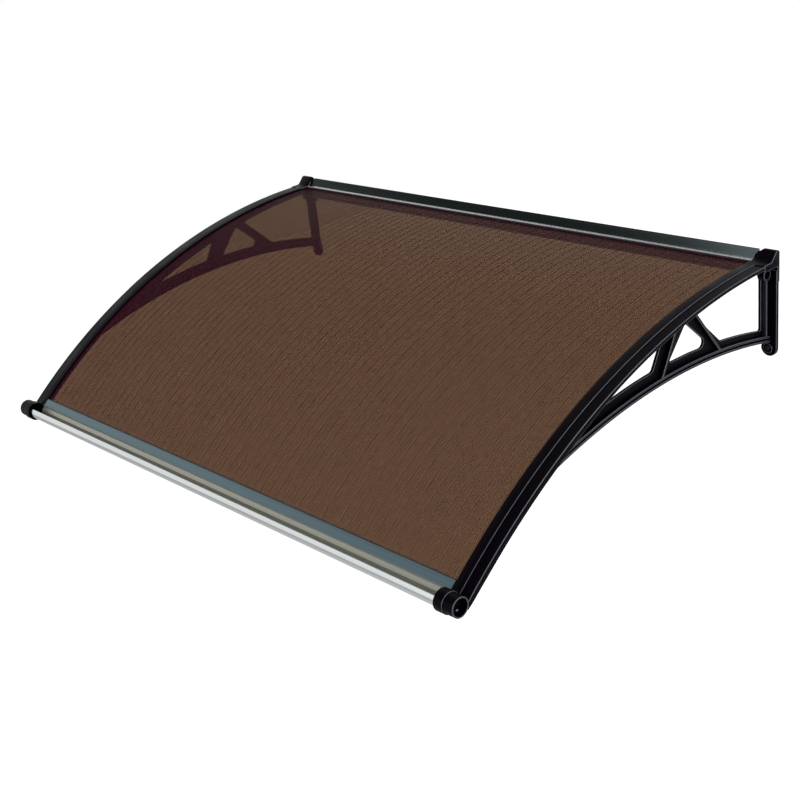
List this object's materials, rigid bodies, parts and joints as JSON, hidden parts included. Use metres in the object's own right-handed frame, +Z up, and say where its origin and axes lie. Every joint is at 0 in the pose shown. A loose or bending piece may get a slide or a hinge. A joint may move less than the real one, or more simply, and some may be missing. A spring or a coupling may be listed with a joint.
{
  "type": "door canopy",
  "caption": "Wall-mounted door canopy: arched bronze twin-wall polycarbonate sheet, black moulded side brackets, aluminium gutter edge at the front and aluminium wall profile at the back.",
  "frame": {"origin": "middle of the wall profile's back face, on the wall plane", "axes": "+X along the canopy's width, to the right seen from the front; +Y into the wall, so the front edge is towards -Y; +Z up"},
  "size_m": [1.2, 0.7697, 0.3057],
  "materials": {
    "moulded_black": "satin moulded, black",
    "bronze_polycarbonate": "glossy, tinted bronze, translucent",
    "mill_aluminium": "bright extruded",
    "black_rubber": "matt",
    "zinc_steel": "zinc plated"
  },
  "bodies": {
    "root": {"bracket_left": "moulded_black", "bracket_right": "moulded_black", "roof_sheet": "bronze_polycarbonate", "front_profile": "mill_aluminium", "wall_profile": "mill_aluminium", "front_seal": "black_rubber", "rear_seal": "black_rubber", "front_screw_left": "zinc_steel", "front_screw_right": "zinc_steel", "rear_screw_left": "zinc_steel", "rear_screw_right": "zinc_steel"}
  },
  "joints": []
}
